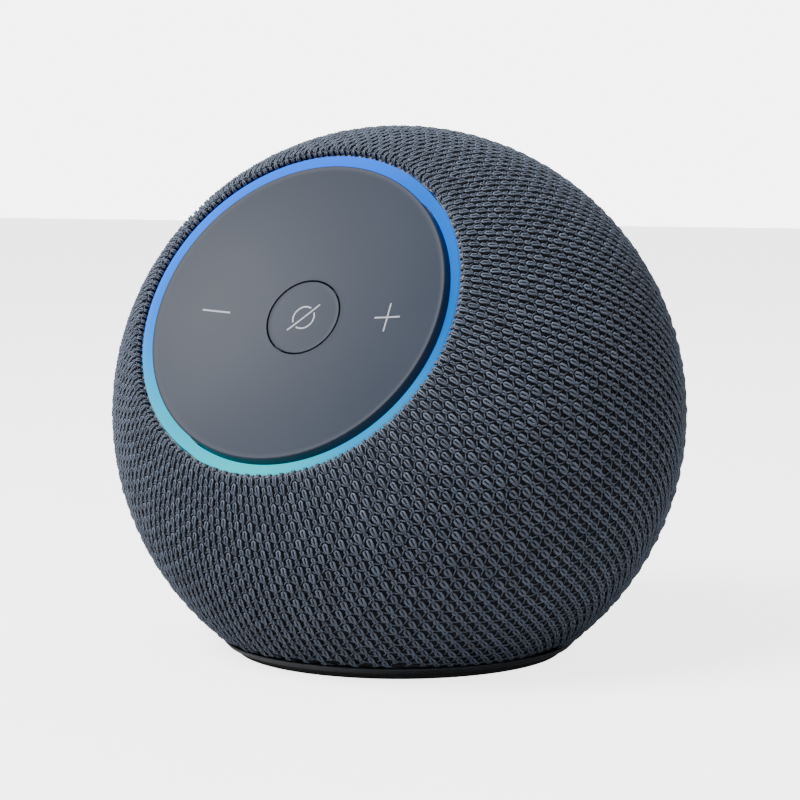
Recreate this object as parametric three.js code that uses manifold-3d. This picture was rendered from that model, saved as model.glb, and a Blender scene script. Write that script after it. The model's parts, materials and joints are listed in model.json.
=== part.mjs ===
// A ball-shaped smart speaker: fabric sleeve, dished control panel with a light ring, and the parts inside.
// Millimetres, +Z up, the front faces -Y, and the origin is on the table under the middle of the ball.
import * as THREE from "three";
import { mergeVertices } from "three/addons/utils/BufferGeometryUtils.js";
import Module from "manifold-3d";

// Driving dimensions
const ballDiameter = 108.7; // outside of the fabric
const baseDiameter = 68.1; // where the fabric ends above the base
const hemHeight = 2.5; // the fabric's lower edge above the table
const fabricThickness = 1.1;
const housingWall = 2.2;
const panelTilt = THREE.MathUtils.degToRad(30.2); // the panel's axis above the horizontal
const panelDiameter = 58;
const panelWall = 1.6;
const dishDepth = 3.5; // the panel's middle below its rim
const panelRise = 0.73; // the panel's rim above the light ring's outer edge
const lipDrop = 2; // the light ring's outer edge below the ball's surface
const ringWidth = 2; // the light ring's visible width
const ringSlope = 1.13; // the light ring's inner edge below its outer edge
const buttonDiameter = 14.1;
const buttonTravel = 0.4;
const symbolOffset = 17.75; // the volume symbols from the panel's middle
const wooferFlangeDiameter = 63;
const wooferStroke = 3; // each way
const magnetDiameter = 35;
const magnetHeight = 7;
const coilDiameter = 15.4;
const tweeterDiameter = 21;
const tweeterStroke = 0.2; // each way
const inletHeight = 12; // the power inlet's axis above the table
const inletDiameter = 13;
const plugPocketDiameter = 10.4;
const footHeight = 1.25; // the base cover's underside above the table
const footWidth = 7.5;
const baseThickness = 2.75;
const boardThickness = 1.2;
const screwShaft = 0.95; // radius
const screwHead = 1.9; // radius
const baffleHeight = 21.8; // the baffle's underside above the table
const baffleThickness = 2.4;

// Clearances
const seatGap = 0.3; // between pieces that seat on each other
const restGap = 0.1; // between flat faces that lie on each other
const coilGap = 0.35; // each side of the voice coil
const boreGap = 0.3; // round a screw or a post
const facetGap = 0.4; // more room where a piece lies along a faceted shell

// Facets round a full turn
const fine = 36;
const coarse = 24;
const smallest = 8;

// What follows from them
const ballRadius = ballDiameter / 2;
const baseRadius = baseDiameter / 2;
const panelRadius = panelDiameter / 2;
const buttonRadius = buttonDiameter / 2;
const fabricInside = ballRadius - fabricThickness;
const housingOutside = fabricInside - 0.25;
const housingInside = housingOutside - housingWall;
const centreHeight = hemHeight + Math.sqrt(ballRadius ** 2 - baseRadius ** 2);
const ringInner = panelRadius + seatGap;
const ringOuter = ringInner + ringWidth;
const ringEdge = Math.sqrt(ballRadius ** 2 - ringOuter ** 2) - lipDrop;
const panelEdge = ringEdge + panelRise;
const sleeveInner = ringOuter + seatGap;
const sleeveOuter = sleeveInner + 0.5;
const housingOpening = sleeveOuter + seatGap;
const fabricOverSleeve = Math.sqrt(fabricInside ** 2 - sleeveOuter ** 2);
const sleeveTop = Math.min(ringEdge, fabricOverSleeve) - seatGap - facetGap;
const flangeRadius = sleeveOuter + 1.4;
const flangeTop = Math.sqrt(housingInside ** 2 - flangeRadius ** 2) - seatGap - facetGap;
const flangeBottom = flangeTop - 1.4;
const controlTop = flangeBottom - 1.3;
const controlBottom = controlTop - boardThickness;
const spreaderTop = controlBottom - 1.7;
const spreaderThickness = 1.6;
const mainTop = spreaderTop - spreaderThickness - 1.4;
const mainBottom = mainTop - boardThickness;
const boardRadius = panelRadius - 0.5;
const postCircle = panelRadius - 2.8;
const postRadius = 2.1;
const buttonFlangeTop = dish(buttonRadius) - panelWall - seatGap;
const buttonFlangeBottom = buttonFlangeTop - 0.8;
const stemBottom = buttonFlangeBottom - 0.15;
const plungerTop = stemBottom - seatGap;
const tweeterRadius = tweeterDiameter / 2;
const tweeterFront = Math.sqrt(housingInside ** 2 - tweeterRadius ** 2) - 0.8;
const tweeterBack = tweeterFront - 7.9;
const tweeterTilt =
  Math.atan(flangeRadius / flangeBottom) -
  panelTilt +
  Math.asin(tweeterRadius / tweeterFront) +
  THREE.MathUtils.degToRad(1.5);
const wooferRadius = wooferFlangeDiameter / 2;
const basketRadius = wooferRadius - 3.9;
const baffleHole = basketRadius + 0.6;
const wooferScrewCircle = (wooferRadius + baffleHole) / 2;
const flangeUnder = baffleHeight - 2.2;
const coneRadius = basketRadius - 6.4;
const neckHeight = flangeUnder + 11.4;
const basketTop = flangeUnder + 19.8;
const coilOuter = coilDiameter / 2 + 0.35;
const coilInner = coilDiameter / 2 - 0.35;
const magnetRadius = magnetDiameter / 2;
const platesRadius = magnetRadius - 1.5;
const plateThickness = 2.6;
const baseTop = footHeight + baseThickness;
const footOuter = baseRadius - 2.55;
const footInner = footOuter - footWidth;
const footGroove = footHeight + 0.7;
const baseScrewCircle = footOuter - 2;
const bossRadius = 2.6;
const bossTop = baseTop + 7;
const inletRadius = inletDiameter / 2;
const jackSize = 7;
const jackFront = wallAt(inletHeight - jackSize / 2) - 0.9;
const bezelBack = jackFront + seatGap;
const powerBoardTop = inletHeight - jackSize / 2 - seatGap;
const leadRadius = 0.9;
const leadRoom = 0.8; // round a lead where it passes through the baffle
const leadHole = new THREE.Vector3(-14, wooferRadius + 5, baffleHeight + baffleThickness / 2);

const wasm = await Module();
wasm.setup();

// The dished face's height along the panel's axis, at a radius: a shallow paraboloid.
function dish(radius) {
  return panelEdge - dishDepth * (1 - (radius / panelRadius) ** 2);
}

// The housing's inner radius at a height above the table.
function wallAt(height) {
  return Math.sqrt(housingInside ** 2 - (height - centreHeight) ** 2);
}

// Materials, one short function for each finish.
function finish(color, roughness, metalness) {
  return new THREE.MeshStandardMaterial({ color, roughness, metalness });
}
const knit = finish(0x3c424e, 0.95, 0);
const panelPlastic = finish(0x6f747f, 0.45, 0);
const lightGuide = finish(0x28b4ff, 0.4, 0);
const darkPlastic = finish(0x26292f, 0.55, 0);
const innerPlastic = finish(0x303238, 0.6, 0);
const rubber = finish(0x1c1c1e, 0.9, 0);
const steel = finish(0x9a9da2, 0.35, 1);
const aluminium = finish(0xb9bcc0, 0.4, 1);
const ferrite = finish(0x2b2b2d, 0.7, 0);
const paper = finish(0x35332f, 0.9, 0);
const copper = finish(0xb0703c, 0.4, 1);
const board = finish(0x1d4a33, 0.5, 0);
const lens = finish(0xf2f2ec, 0.3, 0);

// Drops normals and uvs, joins shared vertices and removes triangles with no area.
function closed(geometry) {
  const bare = new THREE.BufferGeometry();
  bare.setAttribute("position", geometry.getAttribute("position"));
  bare.setIndex(geometry.getIndex());
  const merged = mergeVertices(bare, 1e-4);
  const index = merged.getIndex().array;
  const kept = [];
  for (let i = 0; i < index.length; i += 3) {
    const [a, b, c] = [index[i], index[i + 1], index[i + 2]];
    if (a !== b && b !== c && c !== a) kept.push(a, b, c);
  }
  merged.setIndex(kept);
  return merged;
}

function solid(geometry) {
  const merged = closed(geometry);
  return new wasm.Manifold(
    new wasm.Mesh({
      numProp: 3,
      vertProperties: new Float32Array(merged.getAttribute("position").array),
      triVerts: new Uint32Array(merged.getIndex().array),
    }),
  );
}

function geometryOf(body) {
  const { vertProperties, triVerts } = body.getMesh();
  const geometry = new THREE.BufferGeometry();
  geometry.setAttribute("position", new THREE.BufferAttribute(vertProperties, 3));
  geometry.setIndex(new THREE.BufferAttribute(triVerts, 1));
  return geometry;
}

function cut(geometry, tools) {
  return geometryOf(tools.reduce((body, tool) => body.subtract(solid(tool)), solid(geometry)));
}

function join(geometry, others) {
  return geometryOf(others.reduce((body, other) => body.add(solid(other)), solid(geometry)));
}

function common(geometry, other) {
  return geometryOf(solid(geometry).intersect(solid(other)));
}

// A [radius, height] outline spun about +Z. It starts and ends on the axis, or it closes on itself.
function turned(outline, segments = coarse) {
  const points = outline.map(([radius, height]) => new THREE.Vector2(radius, height));
  const onAxis = points[0].x === 0 && points[points.length - 1].x === 0;
  if (THREE.ShapeUtils.area(points) < 0) points.reverse();
  if (!onAxis) points.push(points[0].clone());
  return closed(new THREE.LatheGeometry(points, segments).rotateX(Math.PI / 2));
}

function ring(inner, outer, bottom, top, segments = coarse) {
  const outline = [
    [inner, bottom],
    [outer, bottom],
    [outer, top],
    [inner, top],
  ];
  return turned(outline, segments);
}

function disc(radius, bottom, top, segments = coarse) {
  const outline = [
    [0, bottom],
    [radius, bottom],
    [radius, top],
    [0, top],
  ];
  return turned(outline, segments);
}

// A cylinder standing on +Z at a point on a circle.
function peg(radius, bottom, top, circle, angle, segments = smallest) {
  return disc(radius, bottom, top, segments).translate(
    circle * Math.cos(angle),
    circle * Math.sin(angle),
    0,
  );
}

function block(width, depth, height) {
  return closed(new THREE.BoxGeometry(width, depth, height));
}

// Points on a circle about the origin, between two angles.
function arc(radius, from, to, steps) {
  const at = (i) => from + ((to - from) * i) / steps;
  return Array.from({ length: steps + 1 }, (_, i) => [
    radius * Math.cos(at(i)),
    radius * Math.sin(at(i)),
  ]);
}

// A ball with a closed top, open below a height that is measured down from its middle.
function shell(outside, inside, bottom) {
  const quarter = Math.PI / 2;
  const wall = (radius) => [
    ...arc(radius, Math.asin(bottom / radius), 0, 5),
    ...arc(radius, 0, quarter, 8).slice(1, -1),
    [0, radius],
  ];
  return turned([...wall(inside).reverse(), ...wall(outside)], fine);
}

function ball(radius) {
  return closed(new THREE.SphereGeometry(radius, fine, coarse));
}

// Turns a shape made about +Z so that its axis points to the front, above the horizontal by a tilt.
function facing(geometry, tilt) {
  return geometry.rotateX(Math.PI / 2 - tilt);
}

// A thin sheet that follows a line of [radius, height] points, with the thickness above the line.
function sheet(line, thickness, segments = coarse) {
  const upper = line.map(([radius, height]) => [radius, height + thickness]);
  return turned([...line, ...upper.reverse()], segments);
}

// A pan-head screw that points up, its head's lower face at height 0.
function screw(length, headHeight = 0.8) {
  const outline = [
    [0, 0],
    [screwHead, 0],
    [screwHead, headHeight],
    [screwShaft, headHeight],
    [screwShaft, headHeight + length],
    [0, headHeight + length],
  ];
  return turned(outline, smallest);
}

// A round lead through a list of points, smoothed into one curve.
function lead(points, radius = leadRadius) {
  const section = new THREE.Shape().absarc(0, 0, radius, 0, Math.PI * 2);
  const path = new THREE.CatmullRomCurve3(points);
  const options = { steps: 16, curveSegments: 4, bevelEnabled: false, extrudePath: path };
  return closed(new THREE.ExtrudeGeometry(section, options));
}

const root = new THREE.Group();
// The ball's middle; the panel and the tweeter have groups of their own that turn +Z to where they face.
const middle = new THREE.Group();
middle.position.z = centreHeight;
const panel = new THREE.Group();
panel.rotation.x = Math.PI / 2 - panelTilt;
const tweeter = new THREE.Group();
tweeter.rotation.x = Math.PI / 2 + tweeterTilt;
root.add(middle);
middle.add(panel, tweeter);

function place(group, name, geometry, material, position = [0, 0, 0]) {
  const mesh = new THREE.Mesh(geometry, material);
  mesh.name = name;
  mesh.position.set(...position);
  geometry.computeVertexNormals();
  group.add(mesh);
  return mesh;
}

// A point of the panel's own frame, in the part's frame.
function fromPanel(x, y, z) {
  root.updateMatrixWorld(true);
  return panel.localToWorld(new THREE.Vector3(x, y, z));
}

function fromTweeter(x, y, z) {
  root.updateMatrixWorld(true);
  return tweeter.localToWorld(new THREE.Vector3(x, y, z));
}

// A round hole along +Y for the power inlet, measured from the ball's middle.
function inletHole(radius, from, length = ballRadius) {
  const hole = disc(radius, 0, length, coarse).rotateX(-Math.PI / 2);
  return hole.translate(0, from, inletHeight - centreHeight);
}

function addFabricSleeve() {
  const cover = shell(ballRadius, fabricInside, hemHeight - centreHeight);
  const opening = facing(disc(sleeveInner, 0, ballDiameter, fine), panelTilt);
  const sleeve = cut(cover, [opening, inletHole(inletRadius + seatGap, baseRadius - 8)]);
  place(middle, "fabric_sleeve", sleeve, knit);
}

// Upright sound slots round the lower housing, left out at the inlet and under the tweeter.
function soundSlots() {
  const count = 16;
  const top = baffleHeight - 3.3;
  const bottom = baseTop + 4.5;
  const slots = [];
  for (let i = 0; i < count; i += 1) {
    const angle = ((i + 0.5) * 2 * Math.PI) / count;
    const clearOfInlet = Math.sin(angle) < Math.cos(0.25);
    const clearOfTweeter = Math.sin(angle) > -Math.cos(0.35);
    if (clearOfInlet && clearOfTweeter) {
      const slot = block(ballRadius, 4, top - bottom).translate(ballRadius * 0.85, 0, 0);
      slots.push(slot.rotateZ(angle).translate(0, 0, (top + bottom) / 2 - centreHeight));
    }
  }
  return slots;
}

// Four screw bosses with ribs to the wall, standing on the base.
function screwBosses() {
  const bottom = baseTop + restGap - centreHeight;
  const top = bossTop - centreHeight;
  const ribLength = ballRadius - baseScrewCircle;
  return screwAngles().map((angle) => {
    const rib = block(ribLength, 1.6, top - bottom - 2);
    rib.translate(baseScrewCircle + ribLength / 2, 0, (top + bottom) / 2 - 1);
    const boss = join(peg(bossRadius, bottom, top, baseScrewCircle, 0), [rib]);
    return common(boss, ball(housingOutside - housingWall / 3)).rotateZ(angle);
  });
}

// Four screws on the diagonals, on the base and on the woofer.
function screwAngles() {
  return [1, 3, 5, 7].map((eighth) => (eighth * Math.PI) / 4);
}

// The two halves of the housing under the fabric, parted on the plane through the ball's middle.
function addHousings() {
  const bottom = baseTop + restGap - centreHeight;
  const wall = shell(housingOutside, housingInside, bottom);
  const ledgeTop = baffleHeight - seatGap - centreHeight;
  const ledgeOuter = wallAt(baffleHeight) + housingWall / 2;
  const ledge = ring(ledgeOuter - 4, ledgeOuter, ledgeTop - 1, ledgeTop, fine);
  const opening = facing(disc(housingOpening, 0, ballDiameter, fine), panelTilt);
  const mouth = facing(disc(tweeterRadius - 1.7, tweeterBack, ballDiameter, coarse), -tweeterTilt);
  const recess = facing(disc(tweeterRadius + 0.6, 0, tweeterFront + 0.5, coarse), -tweeterTilt);
  const slotted = cut(wall, [...soundSlots(), inletHole(inletRadius + seatGap, baseRadius - 8)]);
  const whole = join(slotted, [ledge, ...screwBosses()]);
  const pilotTop = bossTop - 1.5 - centreHeight;
  const pilots = screwAngles().map((angle) =>
    peg(screwShaft + boreGap / 2, bottom - 1, pilotTop, baseScrewCircle, angle),
  );
  const housing = cut(whole, [opening, mouth, recess, ...pilots]);
  const half = block(ballDiameter, ballDiameter, ballDiameter);
  const shift = ballRadius + seatGap / 2;
  const front = common(housing, half.clone().translate(0, -shift, 0));
  const rear = common(housing, half.clone().translate(0, shift, 0));
  place(middle, "front_housing", front, innerPlastic);
  place(middle, "rear_housing", rear, innerPlastic);
}

function addBase() {
  const bandTop = hemHeight - restGap;
  const seat = fabricInside - 0.35;
  const stepRadius = Math.sqrt(seat ** 2 - (hemHeight - centreHeight) ** 2);
  const outline = [
    [0, footHeight],
    [footInner - restGap, footHeight],
    [footInner - restGap, footGroove],
    [footOuter + restGap, footGroove],
    [footOuter + restGap, footHeight],
    [baseRadius - 1.15, footHeight],
    [baseRadius - 0.2, bandTop - 0.15],
    [baseRadius - 0.35, bandTop],
    [stepRadius, bandTop],
    [stepRadius, baseTop],
    [0, baseTop],
  ];
  const holes = screwAngles().flatMap((angle) => [
    peg(screwShaft + boreGap, 0, baseTop + 1, baseScrewCircle, angle),
    peg(screwHead + 0.1, 0, footGroove + 1, baseScrewCircle, angle),
  ]);
  place(root, "base_cover", cut(turned(outline, fine), holes), darkPlastic);
  const footTop = footGroove - restGap;
  const foot = [
    [footInner, 0.4],
    [footInner + 0.4, 0],
    [footOuter - 0.4, 0],
    [footOuter, 0.4],
    [footOuter, footTop],
    [footInner, footTop],
  ];
  place(root, "foot_ring", turned(foot, fine), rubber);
  screwAngles().forEach((angle, i) => {
    const x = baseScrewCircle * Math.cos(angle);
    const y = baseScrewCircle * Math.sin(angle);
    place(root, `base_screw_${i + 1}`, screw(6.4), steel, [x, y, footGroove + restGap]);
  });
  const spread = 11.5;
  const cone = [
    [0, baseTop + restGap],
    [spread, baseTop + restGap],
    [spread, baseTop + 1.2],
    [spread * 0.45, baseTop + 3.4],
    [1.2, baseTop + 8],
    [0, baseTop + 8.2],
  ];
  place(root, "sound_diffuser", turned(cone), innerPlastic);
}

// The carrier that snaps into the housing's opening: a sleeve, a flange with light windows, and three posts.
function addPanelFrame() {
  const outline = [
    [panelRadius - 5, flangeBottom],
    [flangeRadius, flangeBottom],
    [flangeRadius, flangeTop],
    [sleeveOuter, flangeTop],
    [sleeveOuter, sleeveTop],
    [sleeveInner, sleeveTop],
    [sleeveInner, flangeTop],
    [panelRadius - 5, flangeTop],
  ];
  const posts = postAngles().map((angle) =>
    peg(postRadius, mainTop + seatGap, flangeTop - 0.2, postCircle, angle),
  );
  const windows = ledAngles().map((angle) =>
    peg(1.7, flangeBottom - 1, flangeTop + 1, ledCircle(), angle),
  );
  const bores = postAngles().map((angle) =>
    peg(screwShaft + boreGap / 2, mainTop, mainTop + 6, postCircle, angle),
  );
  place(panel, "panel_frame", cut(join(turned(outline, fine), posts), [...windows, ...bores]), darkPlastic);
}

function postAngles() {
  return [1, 5, 9].map((twelfth) => (twelfth * Math.PI) / 6);
}

function ledAngles() {
  return [0, 1, 2, 3, 4, 5].map((sixth) => (sixth * Math.PI) / 3);
}

function ledCircle() {
  return (ringInner + ringOuter) / 2;
}

function addLightRing() {
  const bottom = flangeTop + seatGap;
  const outline = [
    [ringInner, bottom],
    [ringOuter, bottom],
    [ringOuter, ringEdge],
    [ringInner, ringEdge - ringSlope],
  ];
  place(panel, "light_ring", turned(outline, fine), lightGuide);
}

function addControlPanel() {
  const hole = buttonRadius + seatGap;
  const chamfer = 0.25;
  const skirt = 1.6;
  const steps = 4;
  const radii = (from, to) =>
    Array.from({ length: steps + 1 }, (_, i) => from + ((to - from) * i) / steps);
  const top = radii(hole, panelRadius - chamfer).map((r) => [r, dish(r)]);
  const under = radii(panelRadius - skirt, hole).map((r) => [r, dish(r) - panelWall]);
  const outline = [
    ...top,
    [panelRadius, panelEdge - chamfer],
    [panelRadius, flangeTop + seatGap],
    [panelRadius - skirt, flangeTop + seatGap],
    ...under,
  ];
  place(panel, "control_panel", turned(outline, fine), panelPlastic);
}

// The button's face carries on the panel's dish; its flange under the panel stops it coming out.
function addMuteButton() {
  const steps = 4;
  const face = Array.from({ length: steps + 1 }, (_, i) => {
    const r = (buttonRadius * i) / steps;
    return [r, dish(r)];
  });
  const flange = buttonRadius + 1.5;
  const outline = [
    ...face,
    [buttonRadius, buttonFlangeTop],
    [flange, buttonFlangeTop],
    [flange, buttonFlangeBottom],
    [1.6, buttonFlangeBottom],
    [1.6, stemBottom],
    [0, stemBottom],
  ];
  place(panel, "mute_button", turned(outline, fine), panelPlastic);
}

function addSwitch() {
  const bottom = controlTop + seatGap;
  const height = plungerTop - 0.6 - bottom;
  const plungerRadius = 1.25;
  const body = block(5.2, 5.2, height).translate(0, 0, bottom + height / 2);
  const bore = disc(plungerRadius + 0.15, bottom - 1, plungerTop);
  place(panel, "switch_body", cut(body, [bore]), innerPlastic);
  const plunger = disc(plungerRadius, controlTop + buttonTravel + 0.2, plungerTop);
  place(panel, "switch_plunger", plunger, lens);
}

// Thin electrodes under the two volume symbols, laid to the slope of the panel's underside.
function addTouchPads() {
  const slope = Math.atan((2 * dishDepth * symbolOffset) / panelRadius ** 2);
  const height = dish(symbolOffset) - panelWall - seatGap;
  for (const [name, side] of [
    ["touch_pad_minus", -1],
    ["touch_pad_plus", 1],
  ]) {
    const pad = disc(5.5, -0.3, 0).rotateY(-side * slope);
    place(panel, name, pad, copper, [side * symbolOffset, 0, height]);
  }
}

function addControlBoard() {
  const holes = postAngles().map((angle) =>
    peg(postRadius + boreGap, controlBottom - 1, controlTop + 1, postCircle, angle),
  );
  const plate = disc(ledCircle() + 1.4, controlBottom, controlTop);
  place(panel, "control_board", cut(plate, holes), board);
  ledAngles().forEach((angle, i) => {
    const led = block(2, 2, 0.8).rotateZ(angle);
    const x = ledCircle() * Math.cos(angle);
    const y = ledCircle() * Math.sin(angle);
    place(panel, `ring_led_${i + 1}`, led, lens, [x, y, controlTop + seatGap + 0.4]);
  });
  for (const [name, side] of [
    ["microphone_left", -1],
    ["microphone_right", 1],
  ]) {
    const at = [side * 9, panelRadius - 12, controlTop + seatGap + 0.5];
    place(panel, name, block(3.5, 2.7, 1), aluminium, at);
  }
}

function addMainBoard() {
  const flexWidth = 10;
  const flexAt = -(boardRadius - 8);
  const spreaderBottom = spreaderTop - spreaderThickness;
  const postHoles = postAngles().map((angle) =>
    peg(postRadius + boreGap, spreaderBottom - 1, spreaderTop + 1, postCircle, angle),
  );
  const slot = block(flexWidth + 2, 2.4, 6).translate(0, flexAt, spreaderTop);
  const spreader = disc(panelRadius, spreaderBottom, spreaderTop);
  place(panel, "heat_spreader", cut(spreader, [...postHoles, slot]), aluminium);
  const screwHoles = postAngles().map((angle) =>
    peg(screwShaft + boreGap, mainBottom - 1, mainTop + 1, postCircle, angle),
  );
  place(panel, "main_board", cut(disc(boardRadius, mainBottom, mainTop), screwHoles), board);
  const flexLength = controlBottom - mainTop - 2 * seatGap;
  const flexMiddle = (controlBottom + mainTop) / 2;
  place(panel, "board_flex", block(flexWidth, 0.4, flexLength), copper, [0, flexAt, flexMiddle]);
  place(panel, "shield_can", block(24, 18, 2.4), steel, [0, 0, mainBottom - seatGap - 1.2]);
  postAngles().forEach((angle, i) => {
    const x = postCircle * Math.cos(angle);
    const y = postCircle * Math.sin(angle);
    const headBottom = mainBottom - seatGap - 0.8;
    place(panel, `panel_screw_${i + 1}`, screw(6), steel, [x, y, headBottom]);
  });
}

// The board across the ball that the woofer hangs from, and that closes the sound chamber.
function addBaffle() {
  const edge = wallAt(baffleHeight) - seatGap - facetGap;
  const top = baffleHeight + baffleThickness;
  const plate = ring(baffleHole, edge, baffleHeight, top, fine);
  const lift = (geometry) => facing(geometry, -tweeterTilt).translate(0, 0, centreHeight);
  const bodyRoom = lift(disc(tweeterBodyRadius() + 0.8, tweeterBack - 0.8, ballDiameter, coarse));
  const plateRoom = lift(disc(tweeterRadius + 0.8, tweeterFront - 2.4, ballDiameter, coarse));
  const screws = screwAngles().map((angle) =>
    peg(screwShaft + boreGap / 2, baffleHeight - 1, top + 1, wooferScrewCircle, angle),
  );
  const passages = [powerRoute(), wooferRoute(), tweeterRoute()].map((route) =>
    lead(route, leadRadius + leadRoom),
  );
  place(root, "baffle", cut(plate, [bodyRoom, plateRoom, ...passages, ...screws]), innerPlastic);
}

function tweeterBodyRadius() {
  return tweeterRadius - 3;
}

// The cast frame of the woofer: flange below, a windowed cone, and the seat of the magnet on top.
function addBasket() {
  const topRadius = magnetRadius + 0.9;
  const wall = 1.4;
  const outline = [
    [basketRadius - 1.6, flangeUnder],
    [wooferRadius, flangeUnder],
    [wooferRadius, flangeUnder + 1.4],
    [basketRadius, flangeUnder + 1.4],
    [topRadius, basketTop - 2.4],
    [topRadius, basketTop],
    [coilOuter + 0.95, basketTop],
    [coilOuter + 0.95, basketTop - wall],
    [topRadius - wall, basketTop - wall],
    [topRadius - wall, basketTop - 2.8],
    [basketRadius - 1.6, flangeUnder + 1.2],
  ];
  const windowHeight = basketTop - flangeUnder - 9.5;
  const windows = [0, 1, 2].map((third) =>
    block(2 * basketRadius + 4, 11, windowHeight)
      .rotateZ((third * Math.PI) / 3)
      .translate(0, 0, (basketTop + flangeUnder) / 2 + 0.2),
  );
  const holes = screwAngles().map((angle) =>
    peg(screwShaft + boreGap, flangeUnder - 1, flangeUnder + 3, wooferScrewCircle, angle),
  );
  place(root, "woofer_basket", cut(turned(outline), [...windows, ...holes]), steel);
  const gasketHoles = screwAngles().map((angle) =>
    peg(screwShaft + boreGap, flangeUnder, baffleHeight + 1, wooferScrewCircle, angle),
  );
  const gasket = ring(baffleHole, wooferRadius, flangeUnder + 1.5, baffleHeight - restGap);
  place(root, "woofer_gasket", cut(gasket, gasketHoles), rubber);
  screwAngles().forEach((angle, i) => {
    const x = wooferScrewCircle * Math.cos(angle);
    const y = wooferScrewCircle * Math.sin(angle);
    const length = baffleHeight + baffleThickness - flangeUnder - 0.4;
    place(root, `woofer_screw_${i + 1}`, screw(length), steel, [x, y, flangeUnder - 0.9]);
  });
}

function addMotor() {
  const bottom = basketTop + restGap;
  const magnetBottom = bottom + plateThickness + restGap;
  const backBottom = magnetBottom + magnetHeight + restGap;
  const backTop = backBottom + plateThickness;
  const hole = coilOuter + coilGap;
  place(root, "woofer_top_plate", ring(hole, platesRadius, bottom, bottom + plateThickness), steel);
  const magnet = ring(hole + 1.1, magnetRadius, magnetBottom, magnetBottom + magnetHeight);
  place(root, "woofer_magnet", magnet, ferrite);
  const pole = coilInner - coilGap;
  const outline = [
    [0, bottom],
    [pole, bottom],
    [pole, backBottom],
    [platesRadius, backBottom],
    [platesRadius, backTop],
    [0, backTop],
  ];
  place(root, "woofer_back_plate", turned(outline), steel);
}

function addCone() {
  const mouth = flangeUnder + 0.6;
  const neck = coilOuter + coilGap;
  const cone = [
    [neck, neckHeight],
    [neck + 2.5, neckHeight - 3.2],
    [(neck + coneRadius) / 2 + 1, (neckHeight + mouth) / 2 - 0.8],
    [coneRadius, mouth],
  ];
  place(root, "woofer_cone", sheet(cone, 0.7), paper);
  const coilTop = basketTop + plateThickness + wooferStroke;
  place(root, "voice_coil", ring(coilInner, coilOuter, neckHeight - 1, coilTop), copper);
  const capRadius = coilInner - coilGap;
  const cap = Array.from({ length: 4 }, (_, i) => {
    const r = (capRadius * i) / 3;
    return [r, neckHeight - 0.4 - 3 * (1 - (r / capRadius) ** 2)];
  });
  place(root, "woofer_dust_cap", sheet(cap, 0.6), paper);
}

// The half-round rubber roll at the cone's mouth and the corrugated spider at its neck.
function addSuspension() {
  const lip = flangeUnder - 0.6;
  const outer = basketRadius - 2.4;
  const inner = coneRadius + 0.6;
  const rollRadius = (outer - inner) / 2;
  const roll = arc(rollRadius, Math.PI, 2 * Math.PI, 5).map(([x, z]) => [
    (outer + inner) / 2 + x,
    lip + z,
  ]);
  const line = [[inner - 1.4, lip], ...roll, [basketRadius - 0.2, lip]];
  place(root, "woofer_surround", sheet(line, 0.5), rubber);
  const from = coilOuter + coilGap;
  const to = magnetRadius + 0.6;
  const waves = 2;
  const steps = waves * 3;
  const spider = Array.from({ length: steps + 1 }, (_, i) => [
    from + ((to - from) * i) / steps,
    neckHeight + 3 + 0.6 * Math.sin((2 * Math.PI * waves * i) / steps),
  ]);
  place(root, "woofer_spider", sheet(spider, 0.4), knit);
}

function addTweeter() {
  const plateBottom = tweeterFront - 1.7;
  const domeRadius = tweeterBodyRadius() - 0.5;
  const hole = domeRadius + 0.4;
  place(tweeter, "tweeter_faceplate", ring(hole, tweeterRadius, plateBottom, tweeterFront), darkPlastic);
  const body = disc(tweeterBodyRadius(), tweeterBack, plateBottom - seatGap);
  place(tweeter, "tweeter_body", body, steel);
  const dome = Array.from({ length: 4 }, (_, i) => {
    const r = (domeRadius * i) / 3;
    return [r, plateBottom + tweeterStroke + 2.4 * (1 - (r / domeRadius) ** 2)];
  });
  place(tweeter, "tweeter_dome", sheet(dome, 0.4), aluminium);
}

function addInlet() {
  const length = ballRadius;
  const bezel = inletHole(inletRadius, bezelBack, length);
  const pocket = inletHole(plugPocketDiameter / 2, bezelBack + 1.2, length);
  const throat = inletHole(3, bezelBack - 1, length);
  const flush = ball(ballRadius - 0.35);
  place(middle, "inlet_bezel", cut(common(bezel, flush), [pocket, throat]), darkPlastic);
  const depth = 7.5;
  const body = block(jackSize, depth, jackSize);
  const socket = disc(2.8, -depth / 2 + 1, depth).rotateX(-Math.PI / 2);
  const pin = disc(0.6, -depth / 2, depth / 2 - 0.8, 8).rotateX(-Math.PI / 2);
  const jack = join(cut(body, [socket]), [pin]);
  place(root, "dc_jack", jack, innerPlastic, [0, jackFront - depth / 2, inletHeight]);
  const width = 22;
  const boardBottom = powerBoardTop - boardThickness;
  const rear = Math.sqrt(wallAt(boardBottom) ** 2 - (width / 2) ** 2) - 1;
  const front = 13.5;
  const depthOfBoard = rear - front;
  const powerBoard = block(width, depthOfBoard, boardThickness);
  const at = [0, (rear + front) / 2, powerBoardTop - boardThickness / 2];
  place(root, "power_board", powerBoard, board, at);
}

// The leads inside: each leaves its terminal straight and meets the main board's rear face straight.
function arrival(x, y) {
  const end = mainBottom - seatGap;
  return [fromPanel(x, y, end - 6), fromPanel(x, y, end)];
}

function powerRoute() {
  return [
    new THREE.Vector3(-8, jackFront - 11, powerBoardTop + seatGap),
    new THREE.Vector3(-8.5, jackFront - 9.5, powerBoardTop + 4),
    new THREE.Vector3(-12, leadHole.y - 4, leadHole.z - 7),
    leadHole,
    new THREE.Vector3(leadHole.x, leadHole.y, leadHole.z + 5),
    new THREE.Vector3(-16, leadHole.y - 6, leadHole.z + 22),
    new THREE.Vector3(-17, leadHole.y - 20, leadHole.z + 36),
    ...arrival(-17, 8),
  ];
}

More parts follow.
